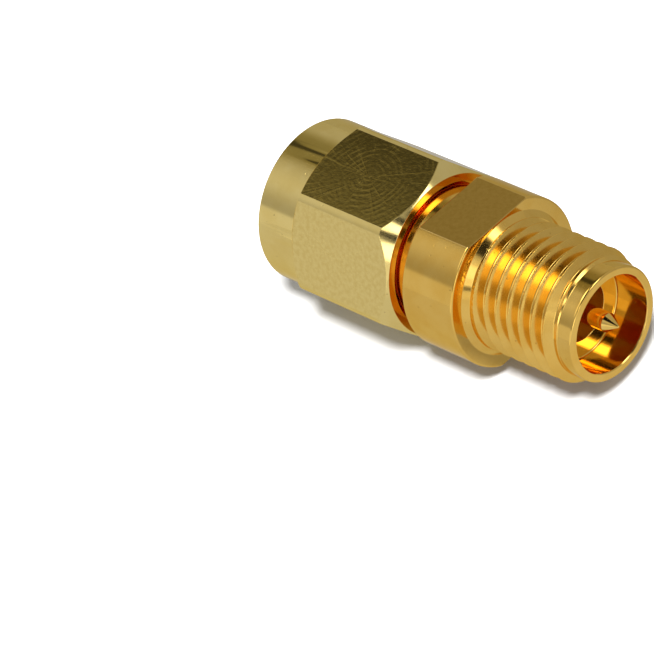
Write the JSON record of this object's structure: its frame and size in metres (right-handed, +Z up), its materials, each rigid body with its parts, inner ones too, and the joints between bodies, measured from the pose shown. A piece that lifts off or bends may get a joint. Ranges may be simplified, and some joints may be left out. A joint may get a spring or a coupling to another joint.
{
  "type": "coaxial adapter",
  "caption": "Gold-plated coaxial adapter: threaded jack with a pin contact at one end, plug with a captive hexagonal coupling nut and socket contact at the other.",
  "frame": {"origin": "middle of the length and width, on the surface that the nut's bottom flat lies on", "axes": "+X along the adapter's axis towards the jack, +Z up, out of the nut's top flat"},
  "size_m": [0.019, 0.009, 0.008],
  "materials": {
    "gold_body": "gold-plated, turned, bright",
    "gold_nut": "pale gold-plated, milled flats, bright",
    "gold_contact": "gold-plated, polished",
    "spring_bronze": "bare spring bronze",
    "insulator_white": "white fluoropolymer, turned"
  },
  "bodies": {
    "adapter": {"body": "gold_body", "plug_insulator": "insulator_white", "support_bead": "insulator_white", "centre_contact": "gold_contact"},
    "ring": {"retaining_ring": "spring_bronze"},
    "nut": {"coupling_nut": "gold_nut"}
  },
  "joints": [
    {"name": "nut_float", "type": "slide", "parent": "adapter", "child": "ring", "axis": [1, 0, 0], "range_m": [-0.0001, 0.0001]},
    {"name": "nut_spin", "type": "hinge", "parent": "ring", "child": "nut", "pos_m": [0, 0, 0.004], "axis": [1, 0, 0], "continuous": true}
  ]
}
